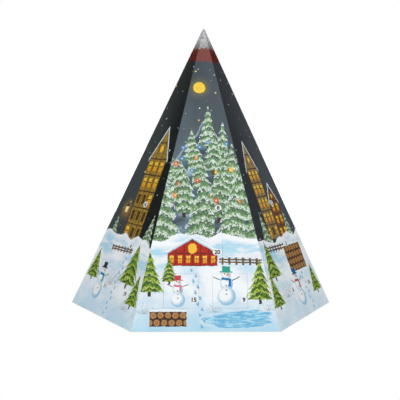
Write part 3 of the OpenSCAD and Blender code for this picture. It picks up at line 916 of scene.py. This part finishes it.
for day in days:
    turn = turns[door_face[day]]
    to_front = Matrix.Rotation(-turn, 4, "Z")
    corners = [to_front @ vertex.co for vertex in nodes[f"door_{day:02d}"].data.vertices]
    right_edge = max(corner.x for corner in corners)
    low_edge = min(corner.z for corner in corners) / math.sin(lean)

    lettering = bpy.data.curves.new(f"numeral_{day:02d}", "FONT")
    lettering.body = str(day)
    lettering.size = numeral_height / numeral_share
    lettering.offset = stroke_swell
    lettering.extrude = film / 2
    lettering.resolution_u = 3
    writing = add_object(f"numeral_{day:02d}", lettering)
    drawn = writing.evaluated_get(bpy.context.evaluated_depsgraph_get())
    flat = bpy.data.meshes.new_from_object(drawn)
    bpy.data.objects.remove(writing)
    numeral = bmesh.new()
    numeral.from_mesh(flat)
    bmesh.ops.remove_doubles(numeral, verts=numeral.verts, dist=weld_gap)
    wide = [vertex.co.x for vertex in numeral.verts]
    tall = [vertex.co.y for vertex in numeral.verts]
    half_width = (max(wide) - min(wide)) / 2
    middle = Vector((min(wide) + half_width, (min(tall) + max(tall)) / 2, -numeral_lift))
    bmesh.ops.translate(numeral, verts=numeral.verts, vec=-middle)
    for face in numeral.faces:
        face.material_index = 1
    numeral.to_mesh(flat)
    numeral.free()

    shape = bmesh.new()
    bmesh.ops.create_cone(
        shape, cap_ends=True, segments=40, radius1=cloud_radius, radius2=cloud_radius, depth=film * 2)
    stretch = max(half_width + cloud_margin - cloud_radius, 0)
    for side in (-1, 1):
        half = [vertex for vertex in shape.verts if vertex.co.x * side > middle_gap]
        bmesh.ops.translate(shape, verts=half, vec=(side * stretch, 0, 0))
    shape.from_mesh(flat)
    bpy.data.meshes.remove(flat)

    centre = (right_edge - edge_room - cloud_radius - stretch, low_edge + number_height)
    wall_plane = Matrix.Rotation(turn, 4, "Z") @ Matrix.Translation((0, -apothem / MM, 0))
    wall_plane = wall_plane @ Matrix.Rotation(lean, 4, "X") @ Matrix.Translation((*centre, 0))
    bmesh.ops.transform(shape, matrix=wall_plane, verts=shape.verts)
    bmesh.ops.recalc_face_normals(shape, faces=shape.faces)
    mesh = bpy.data.meshes.new(f"door_number_{day:02d}")
    shape.to_mesh(mesh)
    shape.free()
    mesh.materials.append(number_white)
    mesh.materials.append(number_ink)
    badge = add_object(f"door_number_{day:02d}", mesh)
    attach(badge, f"door_{day:02d}")
    "snow_print" if centre[1] < snow_line else "night_print"


# Studio.
# A white sweep with a window under the base, so that it can be seen from below; two large soft lights in
# front, a weaker one behind for the far walls, and two dark screens behind on either side that keep the
# slanting side walls from mirroring the white.
floor_reach = 8.0
floor_drop = 0.0003
floor_grey = 0.62
window_rim = 0.003
glow_near, glow_far = 0.25, 1.4
glow_least = 0.55
room_light = 0.42
floor_mesh = bpy.data.meshes.new("floor")
shape = bmesh.new()
bmesh.ops.create_circle(shape, cap_ends=True, segments=6, radius=floor_reach)
bmesh.ops.rotate(shape, verts=shape.verts, matrix=Matrix.Rotation(math.pi / 6, 3, "Z"))
bmesh.ops.translate(shape, verts=shape.verts, vec=(0, 0, -floor_drop))
window = list(shape.faces)
window_edge = apothem / MM - window_rim
floor_edge = floor_reach * math.cos(math.pi / 6)
bmesh.ops.inset_individual(shape, faces=window, thickness=floor_edge - window_edge)
bmesh.ops.delete(shape, geom=window, context="FACES_ONLY")
shape.to_mesh(floor_mesh)
shape.free()
floor = add_object("floor", floor_mesh)


def seen_rays(tree):
    """1 for the rays that see the white, straight on or by way of a shiny or clear surface."""
    rays = tree.nodes.new("ShaderNodeLightPath")
    seen = Field(tree, rays.outputs["Is Camera Ray"]) | Field(tree, rays.outputs["Is Glossy Ray"])
    return seen | Field(tree, rays.outputs["Is Transmission Ray"])


sweep = bpy.data.materials.new("white_sweep")
sweep.use_nodes = True
tree = sweep.node_tree
tree.nodes.clear()
paper = tree.nodes.new("ShaderNodeBsdfDiffuse")
paper.inputs["Color"].default_value = (floor_grey, floor_grey, floor_grey, 1.0)
shining = tree.nodes.new("ShaderNodeEmission")
place = Field(tree, tree.nodes.new("ShaderNodeTexCoord").outputs["Object"])
x, y, _ = parts(place)
glow = distance(x, y).ramp(glow_near, glow_far) * (1 - glow_least) + glow_least
feed(tree, shining.inputs["Strength"], seen_rays(tree) * glow)
both = tree.nodes.new("ShaderNodeAddShader")
tree.links.new(paper.outputs[0], both.inputs[0])
tree.links.new(shining.outputs[0], both.inputs[1])
clear = tree.nodes.new("ShaderNodeBsdfTransparent")
from_below = tree.nodes.new("ShaderNodeMixShader")
tree.links.new(tree.nodes.new("ShaderNodeNewGeometry").outputs["Backfacing"], from_below.inputs[0])
tree.links.new(both.outputs[0], from_below.inputs[1])
tree.links.new(clear.outputs[0], from_below.inputs[2])
surface = tree.nodes.new("ShaderNodeOutputMaterial")
tree.links.new(from_below.outputs[0], surface.inputs["Surface"])
floor_mesh.materials.append(sweep)

world = bpy.data.worlds.new("studio")
bpy.context.scene.world = world
world.use_nodes = True
tree = world.node_tree
room = tree.nodes["Background"]
room.inputs["Color"].default_value = (1.0, 1.0, 1.0, 1.0)
feed(tree, room.inputs["Strength"], seen_rays(tree) * (1 - room_light) + room_light)

lit_middle = Vector((0, 0, 0.15))


def direction(azimuth, elevation):
    """The way from the object to a lamp or the camera; the front is at 0."""
    level = math.cos(elevation)
    return Vector((math.sin(azimuth) * level, -math.cos(azimuth) * level, math.sin(elevation)))


def soft_light(name, azimuth, elevation, away, size, watts):
    """A square light aimed at the middle of the object, its angles in degrees."""
    lamp = bpy.data.lights.new(name, "AREA")
    lamp.size = size
    lamp.energy = watts
    holder = add_object(name, lamp)
    aim = direction(math.radians(azimuth), math.radians(elevation))
    holder.location = lit_middle + aim * away
    holder.rotation_euler = aim.to_track_quat("Z", "Y").to_euler()


soft_light("left_light", -48, 30, away=1.5, size=0.9, watts=9.6)
soft_light("right_light", 48, 30, away=1.5, size=0.9, watts=9.6)
soft_light("back_light", 180, 35, away=1.6, size=1.4, watts=9.0)

screen_half = 1.1
screen_aside, screen_behind, screen_height = 1.6, 1.0, 0.9
screen_turn = math.radians(-57)
upright = Matrix.Rotation(math.pi / 2, 4, "X")
screen_mesh = bpy.data.meshes.new("dark_screens")
shape = bmesh.new()
for side in (-1, 1):
    made = bmesh.ops.create_grid(shape, x_segments=2, y_segments=2, size=screen_half)
    stand = Matrix.Translation((side * screen_aside, screen_behind, screen_height))
    stand = stand @ Matrix.Rotation(side * screen_turn, 4, "Z") @ upright
    bmesh.ops.transform(shape, matrix=stand, verts=made["verts"])
shape.to_mesh(screen_mesh)
shape.free()
screens = add_object("dark_screens", screen_mesh)
screens.visible_camera = False
black_cloth, _, shader, _ = new_material("black_cloth")
shader.inputs["Base Color"].default_value = (0.02, 0.02, 0.02, 1.0)
shader.inputs["Specular IOR Level"].default_value = 0.0
screen_mesh.materials.append(black_cloth)

bpy.context.scene.view_settings.view_transform = "Standard"
camera_azimuth = -0.0343558
camera_elevation = 0.0976188
camera_roll = 0.0083573
camera_distance = 1.01116
aim_side = -0.0028692
aim_height = 0.1356274
focal_length = 69.796
sensor_width = 36.0
back = direction(camera_azimuth, camera_elevation)
right = Vector((math.cos(camera_azimuth), math.sin(camera_azimuth), 0))
upward = back.cross(right)
lens = bpy.data.cameras.new("camera")
lens.lens = focal_length
lens.sensor_width = sensor_width
camera = add_object("camera", lens)
camera.location = right * aim_side + Vector((0, 0, aim_height)) + back * camera_distance
level_view = Matrix((right, upward, back)).transposed()
camera.rotation_euler = (level_view @ Matrix.Rotation(camera_roll, 3, "Z")).to_euler()
bpy.context.scene.camera = camera
